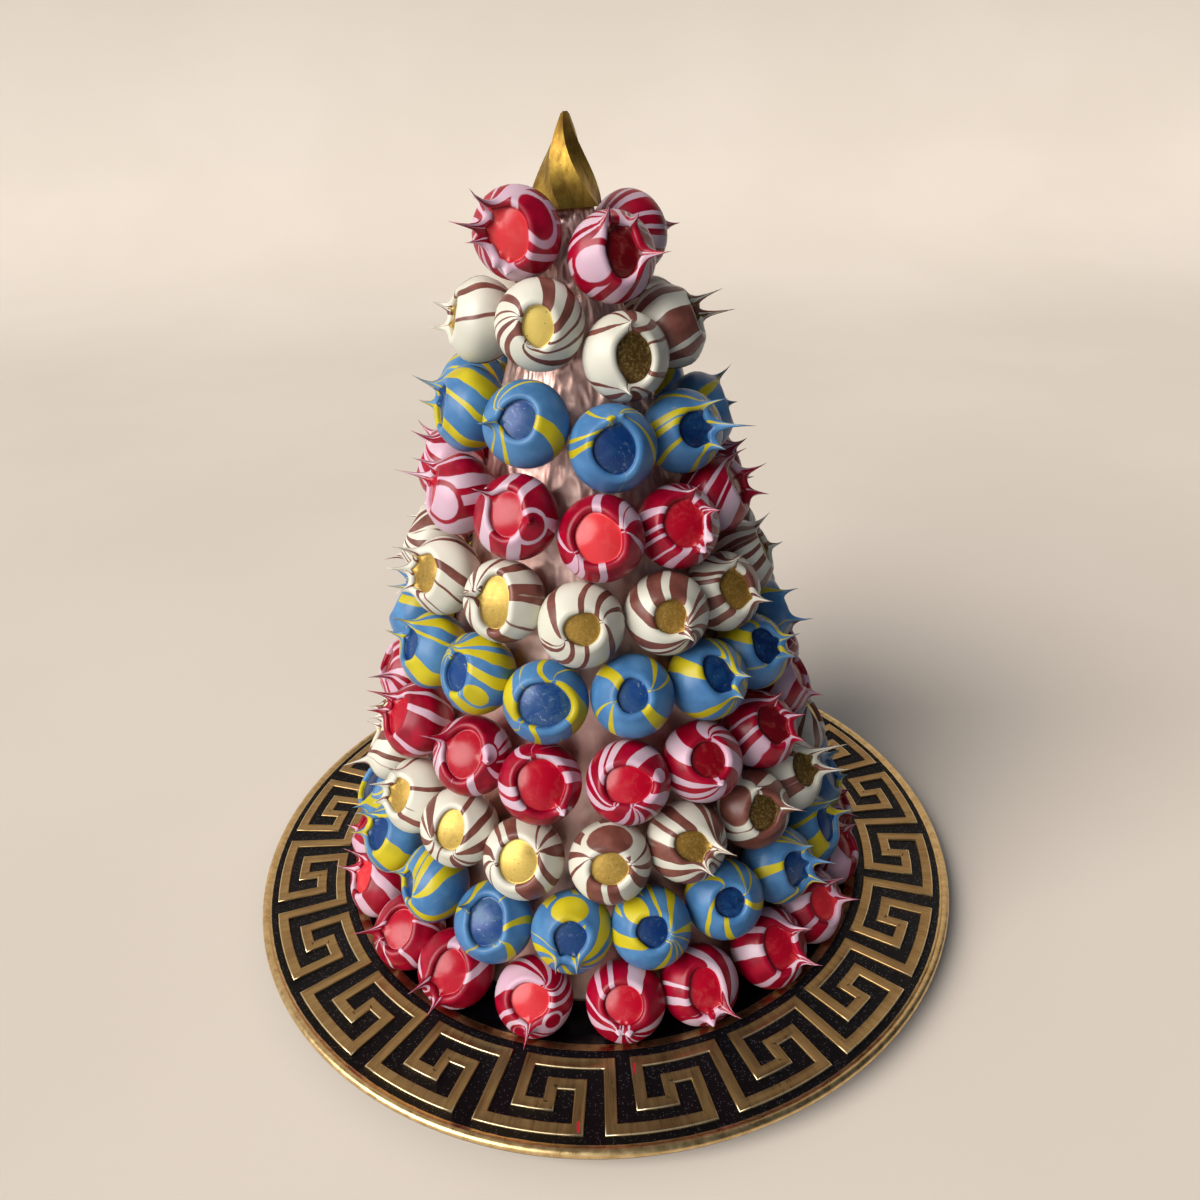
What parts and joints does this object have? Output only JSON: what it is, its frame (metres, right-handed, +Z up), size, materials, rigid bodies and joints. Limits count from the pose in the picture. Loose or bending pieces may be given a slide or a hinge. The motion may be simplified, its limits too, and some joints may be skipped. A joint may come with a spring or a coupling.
{
  "type": "chocolate pyramid",
  "caption": "Cone of round filled chocolates in red, brown and blue rings round a foil-wrapped cone with a gold tip, on a black charger plate with a gold Greek key.",
  "frame": {"origin": "centre of the charger plate, on the table under its foot", "axes": "+Z up along the cone towards its tip; the side the picture was taken from faces -Y, and +X is that view's right"},
  "size_m": [0.3296, 0.3296, 0.3345],
  "materials": {
    "bonbon_red": "satin-gloss chocolate shell marbled in red and pinkish white, bright red window",
    "bonbon_brown": "satin-gloss chocolate shell marbled in milk brown and ivory, window dusted with gold",
    "bonbon_blue": "satin-gloss chocolate shell marbled in sky blue and yellow, pearly deep blue window",
    "foil_rose_gold": "creased satin rose-gold foil over a card cone",
    "tip_gold": "brushed antique gold foil, fluted and twisted",
    "plate_black_gold": "gloss black with fine glitter, raised Greek key and gold rings"
  },
  "bodies": {
    "root": {"charger_plate": "plate_black_gold", "foil_cone": "foil_rose_gold", "gold_tip": "tip_gold", "row01_red_bonbon_a": "bonbon_red", "row01_red_bonbon_b": "bonbon_red", "row01_red_bonbon_c": "bonbon_red", "row01_red_bonbon_d": "bonbon_red", "row02_brown_bonbon_a": "bonbon_brown", "row02_brown_bonbons_b": "bonbon_brown", "row02_brown_bonbons_c": "bonbon_brown", "row02_brown_bonbons_d": "bonbon_brown", "row03_blue_bonbon_b": "bonbon_blue", "row03_blue_bonbons_a": "bonbon_blue", "row03_blue_bonbons_c": "bonbon_blue", "row03_blue_bonbons_d": "bonbon_blue", "row04_red_bonbon_a": "bonbon_red", "row04_red_bonbon_b": "bonbon_red", "row04_red_bonbons_c": "bonbon_red", "row04_red_bonbons_d": "bonbon_red", "row04_red_bonbons_e": "bonbon_red", "row05_brown_bonbon_a": "bonbon_brown", "row05_brown_bonbons_b": "bonbon_brown", "row05_brown_bonbons_c": "bonbon_brown", "row05_brown_bonbons_d": "bonbon_brown", "row05_brown_bonbons_e": "bonbon_brown", "row06_blue_bonbon_b": "bonbon_blue", "row06_blue_bonbons_a": "bonbon_blue", "row06_blue_bonbons_c": "bonbon_blue", "row06_blue_bonbons_d": "bonbon_blue", "row06_blue_bonbons_e": "bonbon_blue", "row06_blue_bonbons_f": "bonbon_blue", "row07_red_bonbon_a": "bonbon_red", "row07_red_bonbon_d": "bonbon_red", "row07_red_bonbons_b": "bonbon_red", "row07_red_bonbons_c": "bonbon_red", "row07_red_bonbons_e": "bonbon_red", "row07_red_bonbons_f": "bonbon_red", "row08_brown_bonbons_a": "bonbon_brown", "row08_brown_bonbons_b": "bonbon_brown", "row08_brown_bonbons_c": "bonbon_brown", "row08_brown_bonbons_d": "bonbon_brown", "row08_brown_bonbons_e": "bonbon_brown", "row08_brown_bonbons_f": "bonbon_brown", "row09_blue_bonbon_a": "bonbon_blue", "row09_blue_bonbon_b": "bonbon_blue", "row09_blue_bonbon_c": "bonbon_blue", "row09_blue_bonbon_e": "bonbon_blue", "row09_blue_bonbons_d": "bonbon_blue", "row09_blue_bonbons_f": "bonbon_blue", "row09_blue_bonbons_g": "bonbon_blue", "row09_blue_bonbons_h": "bonbon_blue", "row09_blue_bonbons_i": "bonbon_blue", "row10_red_bonbon_a": "bonbon_red", "row10_red_bonbon_c": "bonbon_red", "row10_red_bonbons_b": "bonbon_red", "row10_red_bonbons_d": "bonbon_red", "row10_red_bonbons_e": "bonbon_red", "row10_red_bonbons_f": "bonbon_red", "row10_red_bonbons_g": "bonbon_red", "row10_red_bonbons_h": "bonbon_red"}
  },
  "joints": []
}
